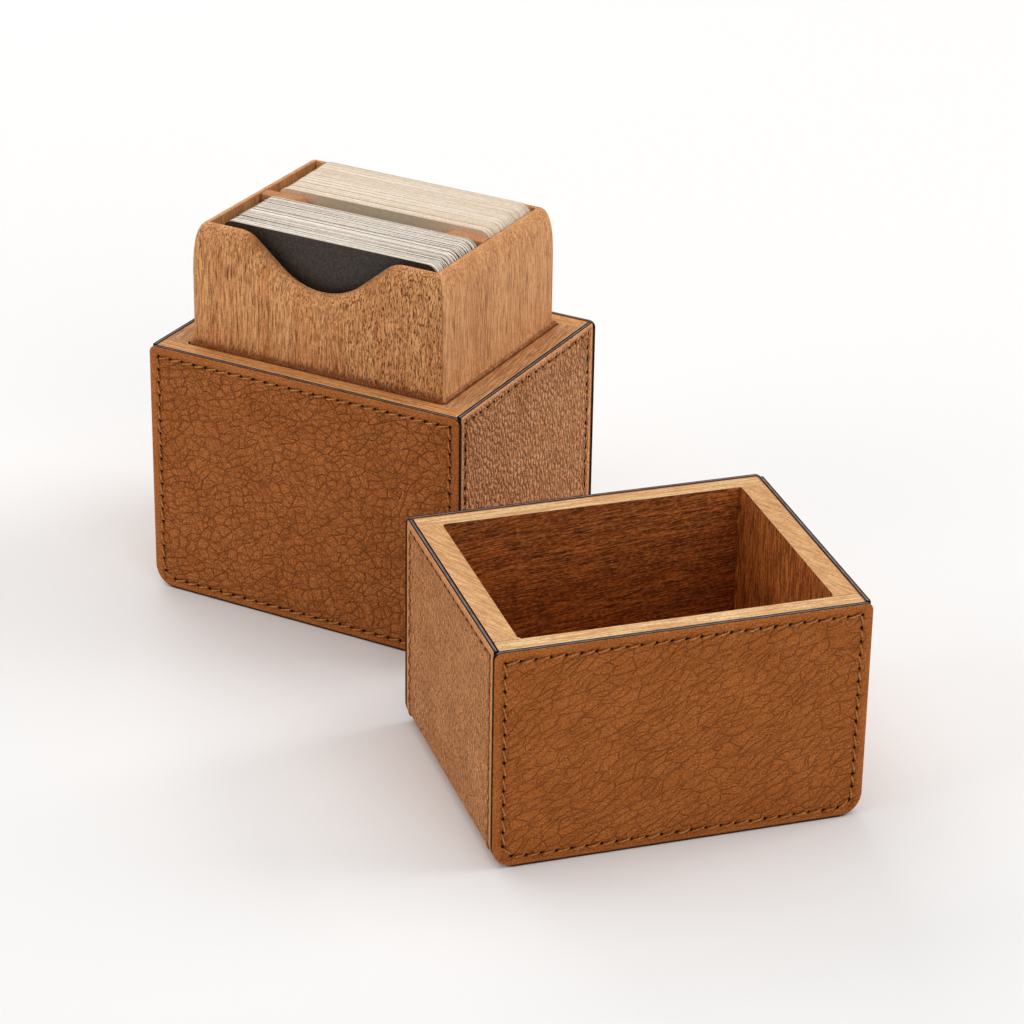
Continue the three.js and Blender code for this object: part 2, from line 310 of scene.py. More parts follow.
def grain(tree, at, hide):
    """Distances to the creases of each kind, with their weights, and to the pebbles' edges."""
    moved = at
    for scale, reach in CREASE_WANDER:
        moved = wandering(tree, moved, scale, reach)
    creases = [
        (crease_gap(tree, moved, degrees, stretch, size), weight)
        for degrees, stretch, size, weight in hide["cells"]
    ]
    for degrees, spacing, weight in hide["long"]:
        gap, shown = long_crease(tree, moved, degrees, spacing)
        creases.append((gap, tree.times(shown, weight)))
    return creases, cell_edge(tree, wandering(tree, at, *PEBBLE_WANDER), *hide["pebbles"])


def add_relief(piece, hide):
    """Moves the panel's skin in and out by the leather's grain and keeps the result."""
    group, tree, start = geometry_group("relief")
    named = "GeometryNodeInputNamedAttribute"
    flat = tree.add(named, {"Name": "flat"}, data_type="FLOAT_VECTOR").outputs[0]
    skin = tree.add(named, {"Name": "skin"}, data_type="FLOAT").outputs[0]
    creases, pebble = grain(tree, flat, hide)
    depth = 0.0
    for gap, weight in creases:
        depth = tree.larger(depth, tree.times(tree.ramp(gap, 0.0, FOLD_WIDTH, 1.0, 0.0), weight))
    depth = tree.times(depth, hide["crease_depth"])
    pebble_size = hide["pebbles"][2]
    sunk = tree.ramp(pebble, 0.0, VALLEY_FOLD * pebble_size, hide["pebble_depth"], 0.0)
    height = tree.times(tree.times(tree.plus(depth, sunk), -MM), skin)
    normal = tree.add("GeometryNodeInputNormal").outputs[0]
    offset = tree.add("ShaderNodeVectorMath", {0: normal, 3: height}, operation="SCALE").outputs[0]
    moved = tree.add("GeometryNodeSetPosition", {"Geometry": start, "Offset": offset}).outputs[0]
    tree.add("NodeGroupOutput", {0: moved})
    piece.modifiers.new("relief", "NODES").node_group = group
    depsgraph = bpy.context.evaluated_depsgraph_get()
    mesh = bpy.data.meshes.new_from_object(
        piece.evaluated_get(depsgraph), preserve_all_data_layers=True, depsgraph=depsgraph
    )
    piece.modifiers.clear()
    old, piece.data = piece.data, mesh
    bpy.data.meshes.remove(old)
    bpy.data.node_groups.remove(group)


def leather_material(name, hide):
    material, tree, shader = new_material(name)
    flat = tree.own("flat", "Vector")
    skin = tree.own("skin")
    creases, pebble = grain(tree, flat, hide)
    pebble_size = hide["pebbles"][2]
    # Dark lines along the creases and round the pebbles, painted shade where the leather sinks in,
    # fainter here and there and in the calm border
    fading = tree.ramp(tree.noise(flat, 0.3, 1.0), 0.32, 0.6, 0.6, 1.0)
    lines = 0.0
    for gap, weight in creases:
        line = tree.times(tree.ramp(gap, 0.01, LINE_WIDTH, 1.0, 0.0), weight)
        lines = tree.larger(lines, tree.times(line, fading))
    breaks = tree.ramp(tree.noise(flat, 0.6, 1.0), 0.4, 0.58, 0.2, 1.0)
    wrinkle = tree.times(tree.ramp(pebble, 0.0, WRINKLE_WIDTH, hide["wrinkles"], 0.0), breaks)
    lines = tree.times(tree.larger(lines, wrinkle), tree.ramp(skin, 0.0, 1.0, 0.4, 1.0))
    # The dye, its pores and its lighter flecks. Then painted shade: the valleys round the pebbles
    # (with dye that pools there), the crease lines and the seams' grooves. Last, the dark edge
    # paint along the foot, with painted shadow.
    pores = tree.noise(flat, 2.3, 3.0, 0.6)
    # The valleys round the pebbles are darker: dye that pools there, and painted shade
    valley = tree.ramp(pebble, 0.0, VALLEY_SHADE * pebble_size, hide["valleys"], 0.0)
    shade, light, deep, bright = hide["colours"]
    colour = tree.tint(
        tree.blend(tree.noise(flat, 0.1, 3.0), *MOST, shade, light),
        (tree.ramp(pores, 0.34, 0.58, 0.75, 0.0), deep),
        (tree.ramp(pores, 0.54, 0.7, 0.0, 0.5), bright),
        (tree.times(valley, skin), hide["line_colour"]),
        (tree.times(lines, hide["lines"]), hide["line_colour"]),
        # The seams' grooves: painted shade
        (tree.ramp(tree.own("seam"), 0.15, 0.9, 0.0, 0.85), SEAM_SHADE),
        # Dark edge paint along the panel's foot, with painted shadow where it stands on the floor
        (tree.ramp(tree.own("crown"), -0.9, -0.1, 0.9, 0.0), FOOT_PAINT_AND_SHADOW),
    )
    set_surface(tree, shader, colour, roughness=0.5, specular=hide["gloss"])
    # Bumps: domes between the creases, pebbles, lines and pores
    domed = tree.ramp(creases[0][0], 0.0, DOME_WIDTH, 0.0, hide["dome"])
    swell = tree.ramp(pebble, 0.0, VALLEY_SWELL * pebble_size, 0.0, hide["swell"])
    height = tree.times(tree.minus(tree.plus(swell, domed), tree.times(lines, 0.3)), skin)
    bump(tree, shader, tree.plus(height, tree.times(pores, 0.3)), distance_mm=1.0)
    return material


def edge_material():
    """Dark paint on cut edges, with a pale painted highlight along their crown where they
    face up.
    """
    material, tree, shader = new_material("painted_edge")
    streaks = tree.noise(tree.place(), 500.0, 3.0)
    upward = tree.ramp(tree.part(tree.normal(), 2), 0.7, 0.98)
    painted_highlight = tree.times(upward, tree.ramp(streaks, *MOST, 0.6, 1.0))
    painted_highlight = tree.times(painted_highlight, tree.ramp(tree.own("crown"), 0.25, 0.85))
    colour = tree.mix(painted_highlight, srgb((24, 20, 18)), srgb((138, 128, 126)))
    set_surface(tree, shader, colour, roughness=0.6, specular=0.03)
    bump(tree, shader, streaks, distance_mm=0.05)
    return material


# Fine looks: scale and detail of a noise, roughness and specular, and the height of the bumps
FIBRES = ((2500.0, 2.0), (0.7, 0.5), 0.05)
PRINT = ((1800.0, 3.0), (0.5, 0.35), 0.01)


def two_toned(name, shade, light, noise, surface, distance_mm):
    material, tree, shader = new_material(name)
    fine = tree.noise(tree.place(), *noise)
    set_surface(tree, shader, tree.blend(fine, *MOST, shade, light), *surface)
    bump(tree, shader, fine, distance_mm)
    return material


# Near-black needle holes: painted shade for the depth of each hole
def hole_shade_material():
    material, tree, shader = new_material("needle_hole_shade")
    specks = tree.noise(tree.place(), 1500.0)
    colour = tree.mix(specks, srgb((18, 10, 6)), srgb((38, 22, 12)))
    set_surface(tree, shader, colour, roughness=0.9, specular=0.05)
    return material


def spaced(length, fine_end=True):
    """Places from 0 to a length, close together along the seam at its start, and at its end."""
    low = np.arange(0.0, BORDER, FINE_STEP)
    high = (length - low)[::-1] if fine_end else np.array([length])
    start, end = low[-1], high[0]
    count = max(1, round((end - start) / COARSE_STEP))
    middle = np.linspace(start, end, count + 1)[1:-1]
    return np.concatenate([low, middle, high])


def rounded(u, v, width, height, lower, upper):
    """Draws a grid over a rectangle in, ring by ring, so that its outline has rounded corners."""
    u, v = u.copy(), v.copy()
    for side in (-1, 1):
        for radius, base, up in ((lower, 0.0, 1), (upper, height, -1)):
            across = width / 2 - side * u
            along = (v - base) * up
            near = (across < radius) & (along < radius)
            ring = np.minimum(across, along)[near]
            far = np.maximum(across, along)[near]
            reach = np.maximum(radius - ring, 1e-9)
            turn = (radius - far) / reach * (math.pi / 4)
            lead = radius - reach * np.cos(turn)
            trail = radius - reach * np.sin(turn)
            flat = along[near] <= across[near]
            u[near] = side * (width / 2 - np.where(flat, trail, lead))
            v[near] = base + up * np.where(flat, lead, trail)
    return u, v


def quarter(x, y, radius, start):
    """Points along a quarter of a circle, from an angle in degrees on."""
    angles = [math.radians(start + 90 * k / CORNER_STEPS) for k in range(CORNER_STEPS + 1)]
    return [(x + radius * math.cos(angle), y + radius * math.sin(angle)) for angle in angles]


def seam_path(width, height, inset, lower):
    """The stitches of a panel's seam, round a rectangle with rounded lower corners."""
    half, top = width / 2 - inset, height - inset
    radius = lower - inset
    right = quarter(half - radius, inset + radius, radius, -90)
    left = quarter(radius - half, inset + radius, radius, 180)
    outline = right + [(half, top), (-half, top)] + left
    return stitch_places(outline + outline[:1])


def stitch_places(outline):
    """Splits each run of a closed outline between sharp corners into whole stitches."""
    line = [np.array(p) for p in outline]
    runs, run = [], [line[0], line[1]]
    for a, b in zip(line[1:], line[2:]):
        before, after = run[-1] - run[-2], b - a
        cosine = before.dot(after) / (np.linalg.norm(before) * np.linalg.norm(after))
        if cosine < SHARP_COSINE:
            runs.append(run)
            run = [a]
        run.append(b)
    runs.append(run)
    stitches = []
    for run in runs:
        lengths = [0.0]
        for a, b in zip(run, run[1:]):
            lengths.append(lengths[-1] + np.linalg.norm(b - a))
        count = max(1, round(lengths[-1] / SEAM_PITCH))
        at = np.linspace(0, lengths[-1], count + 1)
        holes = list(zip(*(np.interp(at, lengths, side) for side in zip(*run))))
        stitches += zip(holes, holes[1:])
    return stitches


def linked(name, data):
    piece = bpy.data.objects.new(name, data)
    bpy.context.scene.collection.objects.link(piece)
    return piece


def mesh_piece(name, vertices, faces, materials, slots=None, smooth=True):
    """A mesh object from vertices in millimetres."""
    mesh = bpy.data.meshes.new(name)
    mesh.from_pydata((np.asarray(vertices) * MM).tolist(), [], faces)
    for material in materials:
        mesh.materials.append(material)
    if slots:
        mesh.polygons.foreach_set("material_index", slots)
    mesh.polygons.foreach_set("use_smooth", [smooth] * len(mesh.polygons))
    mesh.update()
    return linked(name, mesh)


def attribute(piece, name, values):
    """Keeps a number or a vector for each vertex."""
    values = np.asarray(values, dtype=np.float32)
    kind, key = ("FLOAT_VECTOR", "vector") if values.ndim > 1 else ("FLOAT", "value")
    piece.data.attributes.new(name, kind, "POINT").data.foreach_set(key, values.ravel())


class FlatPanel:
    """A leather panel on the front or the back of a case. u runs along its width, v up."""

    lead = 0.07
    slit = (0.34, 0.26)

    def __init__(self, height):
        self.height = height
        self.u = spaced(WIDTH - 2 * EDGE_EASE) - WIDTH / 2 + EDGE_EASE
        self.v = spaced(height - 2 * EDGE_EASE) + EDGE_EASE
        self.stitches = seam_path(WIDTH, height, PANEL_SEAM_INSET, BEND_RADIUS)

    def grid(self):
        u, v = np.meshgrid(self.u, self.v, indexing="ij")
        inner = EDGE_EASE
        moved_u, moved_v = rounded(
            u, v - inner, WIDTH - 2 * inner, self.height - 2 * inner,
            BEND_RADIUS - inner, RIM_RADIUS - inner,
        )
        return moved_u, moved_v + inner

    def place(self, u, v, lift):
        """A point of the skin, lifted off it, with the front facing -Y."""
        u, v, lift = np.broadcast_arrays(u, v, lift)
        return np.stack([u, -DEPTH / 2 - lift, v], axis=-1)

    def painted(self, v):
        """How much of the edge's dark paint the skin has at v: some, along the panel's foot,
        where it is paint, and painted shadow where the panel meets the floor.
        """
        return np.clip((PAINT_REACH - v) / PAINT_FADE, 0, 1)

    def back_faces(self, ring):
        """Closes the side that lies against the wood."""
        return [ring[::-1]]


class WrapPanel:
    """The strip of leather over the two sides and the closed end. u follows the strip, v runs from
    the back to the front."""

    lead = 0.16
    slit = (0.95, 0.42)

    def __init__(self, height):
        wall = height - BEND_RADIUS
        self.bend = BEND_RADIUS * math.pi / 2
        self.floor = WIDTH - 2 * BEND_RADIUS
        length = 2 * (wall + self.bend) + self.floor
        side = wall + self.bend
        rising = spaced(side - EDGE_EASE, fine_end=False)
        count = round(self.floor / UNDERSIDE_STEP)
        middle = np.linspace(0, self.floor, count + 1)[1:-1]
        steps = [rising + EDGE_EASE, side + middle, length - EDGE_EASE - rising[::-1]]
        self.u = np.concatenate(steps) - length / 2
        self.v = spaced(WRAP_DEPTH - 2 * EDGE_EASE) - WRAP_DEPTH / 2 + EDGE_EASE
        half, top = WRAP_DEPTH / 2 - WRAP_SEAM_INSET, length / 2 - WRAP_SEAM_INSET
        outline = [(-top, -half), (top, -half), (top, half), (-top, half)]
        # The path goes round once, and then its first side, gone over again, comes off
        self.stitches = stitch_places(outline + outline[:2])[: -round(2 * top / SEAM_PITCH)]

    def grid(self):
        return np.meshgrid(self.u, self.v, indexing="ij")

    def frame(self, u):
        """The point of the outer skin at u, and its outward normal, in x and z."""
        s = np.abs(u)
        sign = np.where(u < 0, -1.0, 1.0)
        half_floor = self.floor / 2
        turn = np.clip((s - half_floor) / BEND_RADIUS, 0, math.pi / 2)
        climb = np.maximum(s - half_floor - self.bend, 0)
        x = np.minimum(s, half_floor) + BEND_RADIUS * np.sin(turn)
        z = BEND_RADIUS * (1 - np.cos(turn)) + climb
        return sign * x, z, sign * np.sin(turn), -np.cos(turn)

    def place(self, u, v, lift):
        u, v, lift = np.broadcast_arrays(u, v, lift)
        x, z, normal_x, normal_z = self.frame(u)
        # Underneath, the thread is pressed flat by what the case stands on
        return np.stack([x + normal_x * lift, -v, np.maximum(z + normal_z * lift, 0)], axis=-1)

    def painted(self, v):
        return np.zeros(v.shape)

    def back_faces(self, ring):
        """Closes the side that lies against the wood, with a band of faces along the strip."""
        rows, columns = len(self.u), len(self.v)
        near = ring[: rows]
        far_end = ring[rows - 1: rows + columns - 1]
        far = ring[rows + columns - 2: 2 * rows + columns - 2][::-1]
        near_end = ring[2 * rows + columns - 3:] + ring[:1]
        faces = [[near[i + 1], near[i], far[i], far[i + 1]] for i in range(1, rows - 2)]
        faces.append((near_end + [near[1], far[1]])[::-1])
        faces.append((far_end + [far[-2], near[-2]])[::-1])
        return faces


def outward(loop):
    """The direction away from a panel at each point of its outline."""
    ahead = np.roll(loop, -1, axis=0) - np.roll(loop, 1, axis=0)
    away = np.stack([ahead[:, 1], -ahead[:, 0]], axis=-1)
    return away / np.linalg.norm(away, axis=1, keepdims=True)


def seam_depth(u, v, stitches):
    """How deep the seam draws the leather in at each point: a groove that deepens at each hole."""
    depth = np.zeros(u.shape)
    for a, b in stitches:
        a, b = np.array(a), np.array(b)
        low = np.minimum(a, b) - SEAM_REACH
        high = np.maximum(a, b) + SEAM_REACH
        near = (u > low[0]) & (u < high[0]) & (v > low[1]) & (v < high[1])
        if not near.any():
            continue
        run = b - a
        du, dv = u[near] - a[0], v[near] - a[1]
        share = np.clip((du * run[0] + dv * run[1]) / run.dot(run), 0, 1)
        gap = np.hypot(du - share * run[0], dv - share * run[1])
        hole = np.minimum(np.hypot(du, dv), np.hypot(du - run[0], dv - run[1]))
        drawn_in = sum(
            deepest * np.exp(-((distance / half_width) ** 2))
            for distance, (deepest, half_width) in ((gap, SEAM_GROOVE), (hole, HOLE_DIMPLE))
        )
        depth[near] = np.maximum(depth[near], drawn_in)
    return depth


# A panel's edge from its skin to its back: how far out of the skin's outline and how far off the
# skin each ring of it lies. The first three bands are leather, and the others are painted.
EDGE_PROFILE = [
    (EDGE_EASE * math.sin(k * math.pi / 8), EDGE_EASE * (math.cos(k * math.pi / 8) - 1))
    for k in (1, 2, 3, 4)
] + [(EDGE_EASE, -LEATHER / 2), (EDGE_EASE, -LEATHER)]
LEATHER_BANDS, EASED_RINGS = 3, 4


def leather_panel(name, panel, to_case, hide, seed):
    """One leather panel: a skin with its grain, eased and painted edges, and a plain back."""
    u, v = panel.grid()
    rows, columns = u.shape
    inward = np.minimum.reduce([u - u.min(), u.max() - u, v - v.min(), v.max() - v])
    skin = np.clip((inward - hide["calm"]) / GRAIN_FADE, 0, 1)
    sunk = seam_depth(u, v, panel.stitches)
    index = np.arange(rows * columns).reshape(rows, columns)
    quads = np.stack([index[:-1, :-1], index[1:, :-1], index[1:, 1:], index[:-1, 1:]], axis=-1)
    previous = np.concatenate([index[:-1, 0], index[-1, :-1], index[:0:-1, -1], index[0, :0:-1]])
    outline = np.stack([u.ravel()[previous], v.ravel()[previous]], axis=-1)
    away = outward(outline)
    vertices = [panel.place(u, v, -sunk).reshape(-1, 3)]
    flats = [np.stack([u.ravel(), v.ravel()], axis=-1)]
    # The crown is where the painted edge gets its painted highlight, and below 0 where dark paint
    # and painted shadow lie on the skin
    crowns = [-panel.painted(v).ravel()]
    start, count = rows * columns, len(outline)
    faces = quads.reshape(-1, 4).tolist()
    slots = [LEATHER_SLOT] * len(faces)
    for step, (out, lift) in enumerate(EDGE_PROFILE):
        ring = outline + away * out
        vertices.append(panel.place(ring[:, 0], ring[:, 1], lift))
        flats.append(ring)
        if step < EASED_RINGS:
            crowns.append(-panel.painted(ring[:, 1]))
        else:
            crowns.append(np.full(count, 1.0 if step == EASED_RINGS else 0.0))
        here = np.arange(start, start + count)
        band = np.stack([np.roll(previous, -1), previous, here, np.roll(here, -1)], axis=-1)
        faces += band.tolist()
        slots += [LEATHER_SLOT if step < LEATHER_BANDS else PAINT_SLOT] * count
        previous, start = here, start + count
    faces += panel.back_faces(previous.tolist())
    slots += [LEATHER_SLOT] * (len(faces) - len(slots))
    points = to_case(np.concatenate(vertices))
    piece = mesh_piece(name, points, faces, [hide["material"], EDGE], slots)
    flats = np.concatenate(flats) + np.array([seed, -seed])
    edge = np.zeros(count * len(EDGE_PROFILE))
    attribute(piece, "flat", np.pad(flats, ((0, 0), (0, 1))))
    attribute(piece, "skin", np.concatenate([skin.ravel(), edge]))
    attribute(piece, "seam", np.concatenate([sunk.ravel() / sunk.max(), edge]))
    attribute(piece, "crown", np.concatenate(crowns))
    add_relief(piece, hide)
    return piece


def add_stitch(panel, a, along, length, points, faces):
    """One stitch: a plied thread that slants from hole to hole, thinner where it goes down."""
    across = np.array([-along[1], along[0]])
    start = len(points)
    for k in range(THREAD_RINGS):
        t = k / (THREAD_RINGS - 1)
        arch = math.sin(math.pi * t)
        slide = (panel.lead + (1 - 2 * panel.lead) * t) * length
        shift = math.tan(THREAD_SLANT) * (t - 0.5) * length
        rise = THREAD_ARCH * arch ** 0.45 - THREAD_DIVE
        radius = THREAD_RADIUS * (0.55 + 0.45 * arch ** 0.5)
        centre = a + along * slide + across * shift
        for j in range(THREAD_SIDES):
            angle = 2 * math.pi * j / THREAD_SIDES
            ply = radius * (1 + 0.16 * math.cos(2 * (angle - THREAD_TWIST * t * math.pi)))
            side = ply * math.cos(angle)
            at = centre + across * side
            points.append((at[0], at[1], rise + ply * math.sin(angle)))
    for k in range(THREAD_RINGS - 1):
        for j in range(THREAD_SIDES):
            i, n = start + k * THREAD_SIDES, (j + 1) % THREAD_SIDES
            faces.append([i + j, i + n, i + THREAD_SIDES + n, i + THREAD_SIDES + j])
    last = start + (THREAD_RINGS - 1) * THREAD_SIDES
    faces.append(list(range(start, start + THREAD_SIDES))[::-1])
    faces.append(list(range(last, last + THREAD_SIDES)))


def add_hole(panel, a, along, points, faces):
    """One needle hole, drawn out along the seam: a thin dark lens in the bottom of the groove, as
    painted shade for the depth of the hole.
    """
    across = np.array([-along[1], along[0]])
    long, short = panel.slit
    first = len(points)
    points.append((a[0], a[1], -HOLE_DEPTH))
    for share, drop in HOLE_RINGS:
        for j in range(HOLE_SIDES):
            angle = 2 * math.pi * j / HOLE_SIDES
            way = along * long * math.cos(angle) + across * short * math.sin(angle)
            at = a + share * way
            points.append((at[0], at[1], -HOLE_DEPTH - drop))
    inner, outer = first + 1, first + 1 + HOLE_SIDES
    for j in range(HOLE_SIDES):
        n = (j + 1) % HOLE_SIDES
        faces.append([first, inner + j, inner + n])
        faces.append([inner + j, outer + j, outer + n, inner + n])
    faces.append(list(range(outer, outer + HOLE_SIDES))[::-1])


def seam(name, panel, to_case, thread):
    """The sewing of one panel: its thread, and the holes that the needle left."""
    sewn, pierced = ([], []), ([], [])
    for a, b in panel.stitches:
        a, run = np.array(a), np.array(b) - np.array(a)
        length = np.linalg.norm(run)
        add_stitch(panel, a, run / length, length, *sewn)
        add_hole(panel, a, run / length, *pierced)
    for kind, (points, faces), material in (
        ("thread", sewn, thread), ("needle_hole_shades", pierced, HOLE_SHADE),
    ):
        placed = to_case(panel.place(*np.array(points).T))
        yield mesh_piece(f"{name}_{kind}", placed, faces, [material])


def upright(points):
    return points


def half_turn(points):
    return points * np.array([-1.0, -1.0, 1.0])


def on_lid(points):
    cosine, sine = math.cos(LID_TURN), math.sin(LID_TURN)
    x, y, z = points.T
    return np.stack(
        [LID_PLACE[0] + cosine * x - sine * y, LID_PLACE[1] + sine * x + cosine * y, z], axis=-1
    )


def new_hide(name, **looks):
    return {**looks, "material": leather_material(name, looks)}


# Creases are given by the way they run, how far their cells are drawn out that way, a cell's size
# in millimetres and their strength, long creases by way, spacing and strength, and pebbles by way,
# drawing-out and size. Tones are two of the dye, one of its pores and one of its lighter flecks.
# The sides' tones are paler than the panels': painted sheen, seen on the sides at a grazing angle.
BASE_TONES = ((196, 114, 54), (210, 127, 65), (148, 78, 28), (226, 156, 100))
LID_TONES = ((187, 107, 47), (201, 119, 57), (142, 74, 24), (220, 146, 88))
# Paler tones for the sides: painted sheen
BASE_SIDE_TONES_WITH_SHEEN = ((240, 167, 110), (255, 186, 128), (182, 112, 64), (255, 224, 182))
LID_SIDE_TONES_WITH_SHEEN = ((228, 152, 92), (244, 168, 106), (170, 104, 58), (252, 204, 154))
SEAM_SHADE = (50, 22, 6)
FOOT_PAINT_AND_SHADOW = (26, 18, 14)
EDGE = edge_material()
HOLE_SHADE = hole_shade_material()
PALE_THREAD = two_toned("thread_base", (160, 94, 38), (226, 160, 88), *FIBRES)
DARK_THREAD = two_toned("thread_lid", (146, 82, 30), (218, 148, 78), *FIBRES)
BASE_PANELS = new_hide(
    "leather_base_panels", colours=BASE_TONES, line_colour=(84, 32, 0), gloss=0.08, calm=0.9,
    cells=((20, 1.4, 2.3, 0.85), (-50, 1.5, 3.6, 0.7)), long=((24, 5.2, 0.6),),
    crease_depth=0.18, dome=0.16, lines=0.76, wrinkles=0.5,
    pebbles=(0, 1.0, 1.3), pebble_depth=0.05, swell=0.07, valleys=0.0,
)
LID_PANELS = new_hide(
    "leather_lid_panels", colours=LID_TONES, line_colour=(88, 36, 2), gloss=0.08, calm=0.5,
    cells=((30, 2.4, 2.1, 0.75), (26, 3.0, 3.4, 0.5)), long=((28, 4.6, 0.7),),
    crease_depth=0.15, dome=0.12, lines=0.66, wrinkles=0.3,
    pebbles=(10, 1.3, 1.3), pebble_depth=0.04, swell=0.05, valleys=0.0,
)
BASE_SIDES = new_hide(
    "leather_base_sides_painted_sheen", colours=BASE_SIDE_TONES_WITH_SHEEN, line_colour=(100, 48, 20), gloss=0.12, calm=0.0,
    cells=((-12, 1.5, 4.6, 0.4),), long=(),
    crease_depth=0.08, dome=0.0, lines=0.75, wrinkles=0.85,
    pebbles=(0, 1.8, 1.3), pebble_depth=0.26, swell=0.5, valleys=0.12,
)
LID_SIDES = new_hide(
    "leather_lid_sides_painted_sheen", colours=LID_SIDE_TONES_WITH_SHEEN, line_colour=(110, 58, 24), gloss=0.1, calm=0.6,
    cells=(), long=((4, 5.0, 0.4),),
    crease_depth=0.05, dome=0.0, lines=0.65, wrinkles=0.8,
    pebbles=(0, 2.2, 1.15), pebble_depth=0.14, swell=0.32, valleys=0.16,
)


def dress_case(case, height, to_row, thread, hides):
    """The leather and the sewing of a case. Each panel has a hide, and its own place on it."""
    flat, wrap = FlatPanel(height), WrapPanel(height)
    panels = (
        ("front", flat, to_row),
        ("back", flat, lambda points: to_row(half_turn(points))),
        ("wrap", wrap, to_row),
    )
    for (side, panel, to_case), (hide, seed) in zip(panels, hides):
        skin = leather_panel(f"{case}_{side}_leather", panel, to_case, hide, seed)
        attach(skin, case)
        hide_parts(f"{case}_leather_{side}")
        for sewing in seam(f"{case}_{side}", panel, to_case, thread):
            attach(sewing, case)


dress_case("base", BASE_HEIGHT, upright, PALE_THREAD,
           ((BASE_PANELS, 513.0), (BASE_PANELS, 1141.0), (BASE_SIDES, 1777.0)))
dress_case("lid", LID_HEIGHT, on_lid, DARK_THREAD,
           ((LID_PANELS, 2413.0), (LID_PANELS, 3051.0), (LID_SIDES, 3689.0)))


# Wood


def case_place(tree, case):
    """The place on the case in millimetres, in the case's own directions."""
    x, y, turn = (*LID_PLACE, LID_TURN) if case == "lid" else (0.0, 0.0, 0.0)
    return tree.mapped(tree.place(), (0.0, 0.0, turn), (x * MM, y * MM, 0.0), MM)


# Streaks in wood: length and width in millimetres, how far the seed lies from the wood's own, and
# detail. The tray has bands, lines, specks, hairs, dashes and dots, the walls inside a case have
# bands, lines, specks and pores, and its rim has lines and marks.
TRAY_STREAKS = (
    (50.0, 4.0, 0, 3.0), (7.0, 0.5, 3, 4.0), (0.6, 0.4, 5, 3.0),
    (3.2, 0.3, 11, 3.0), (6.5, 0.3, 7, 3.0), (1.3, 0.3, 9, 3.0),
)
WALL_STREAKS = (
    (60.0, 4.0, 0, 3.0), (7.0, 0.34, 2, 4.0), (1.1, 0.35, 5, 3.0), (6.0, 0.24, 8, 3.0),
)
RIM_STREAKS = {
    "long": ((16.0, 0.4, 0, 3.0), (3.0, 0.32, 4, 3.0)),
    "short": ((7.0, 0.5, 0, 3.0), (4.0, 0.32, 4, 3.0)),
}
RIM_GRIT = (0.8, 0.4, 12, 3.0)


def streaked(tree, place, along, seed, streak):
    """Noise drawn out along one axis, as wood grain is."""
    length, width, step, detail = streak
    scale = [1 / width] * 3
    scale[along] = 1 / length
    seed += step
    at = tree.vector("ADD", tree.scaled(place, scale), (seed, seed * 1.7, seed * 2.3))
    return tree.noise(at, 1.0, detail, 0.55)


# How far the place where long pores give way to short ones wanders, and over how far they do
SHORT_WANDER, SHORT_FADE = 24.0, 28.0


def tray_wood(name, seed, shade, light, strength, foot_shade_height=0.4, short_from=200.0):
    """Mid-brown wood with upright grain. Past a place along X its long pores give way to short."""
    material, tree, shader = new_material(name)
    place = case_place(tree, "base")
    broad, fine, speck, hair, dashes, dots = (
        streaked(tree, place, 2, seed, streak) for streak in TRAY_STREAKS
    )
    hair = tree.ramp(hair, 0.5, 0.64)
    dashes = tree.ramp(dashes, 0.57, 0.7)
    dots = tree.ramp(dots, 0.54, 0.64)
    side = tree.plus(tree.part(place, 0), tree.times(broad, SHORT_WANDER))
    pores = tree.mix(tree.ramp(side, short_from, short_from + SHORT_FADE), dashes, dots)
    # Painted shade: darker along the foot, most where the tray meets the rim, and on the faces
    # that look in on the compartments
    edge = tree.plus(tree.part(place, 2), tree.times(fine, -1.6))
    foot = tree.ramp(edge, BASE_HEIGHT - 0.8, BASE_HEIGHT + foot_shade_height, 0.8, 0.0)
    inward = tree.times(tree.part(tree.normal(), 0), tree.part(place, 0))
    colour = tree.tint(
        tree.blend(broad, *MOST, shade, light),
        (tree.ramp(fine, 0.42, 0.62, 0.0, 0.6 * strength), (156, 90, 44)),
        (tree.ramp(speck, *HIGH_SPECKS, 0.0, 0.4 * strength), (252, 196, 136)),
        (tree.ramp(speck, *LOW_SPECKS, 0.35 * strength, 0.0), (140, 74, 34)),
        (tree.times(hair, 0.6 * strength), (150, 74, 26)),
        (tree.times(pores, strength), (100, 40, 12)),
        (foot, (116, 50, 12)),
        (tree.ramp(inward, -12.0, -2.0, 0.55, 0.0), (112, 62, 30)),
    )
    set_surface(tree, shader, colour, roughness=0.55, specular=0.1)
    relief = tree.plus(tree.times(pores, -1.0), tree.times(speck, 0.7))
    bump(tree, shader, relief, distance_mm=0.12)
    return material


# Tones of the wood on each case's rim, for long and for short boards: shade, light and marks. And
# of the walls inside: shade and light.
RIM_TONES = {
    ("base", "long"): ((206, 136, 76), (244, 180, 114), (160, 92, 46)),
    ("base", "short"): ((190, 132, 84), (232, 174, 118), (128, 82, 54)),
    ("lid", "long"): ((224, 164, 106), (255, 220, 166), (184, 118, 68)),
    ("lid", "short"): ((220, 160, 104), (248, 196, 136), (168, 116, 80)),
}
# The short walls' tones are lighter than the long walls': painted light on the same wood
WALL_TONES = {"long": ((176, 92, 32), (200, 114, 46)), "short": ((206, 112, 44), (230, 138, 62))}
# Pale colour of the painted highlight on the rims' eased edges
RIM_HIGHLIGHT = (255, 232, 192)
# How far the grain of the short boards' rims is turned, and how far that of the long walls climbs
RIM_GRAIN = {"base": math.radians(-82), "lid": math.radians(-62)}
WALL_CLIMB = math.radians(-6)
BOARD_SEEDS = {"front": 2.0, "back": 7.0, "left": 11.0, "right": 23.0, "floor": 31.0}
LID_SEED = 40.0


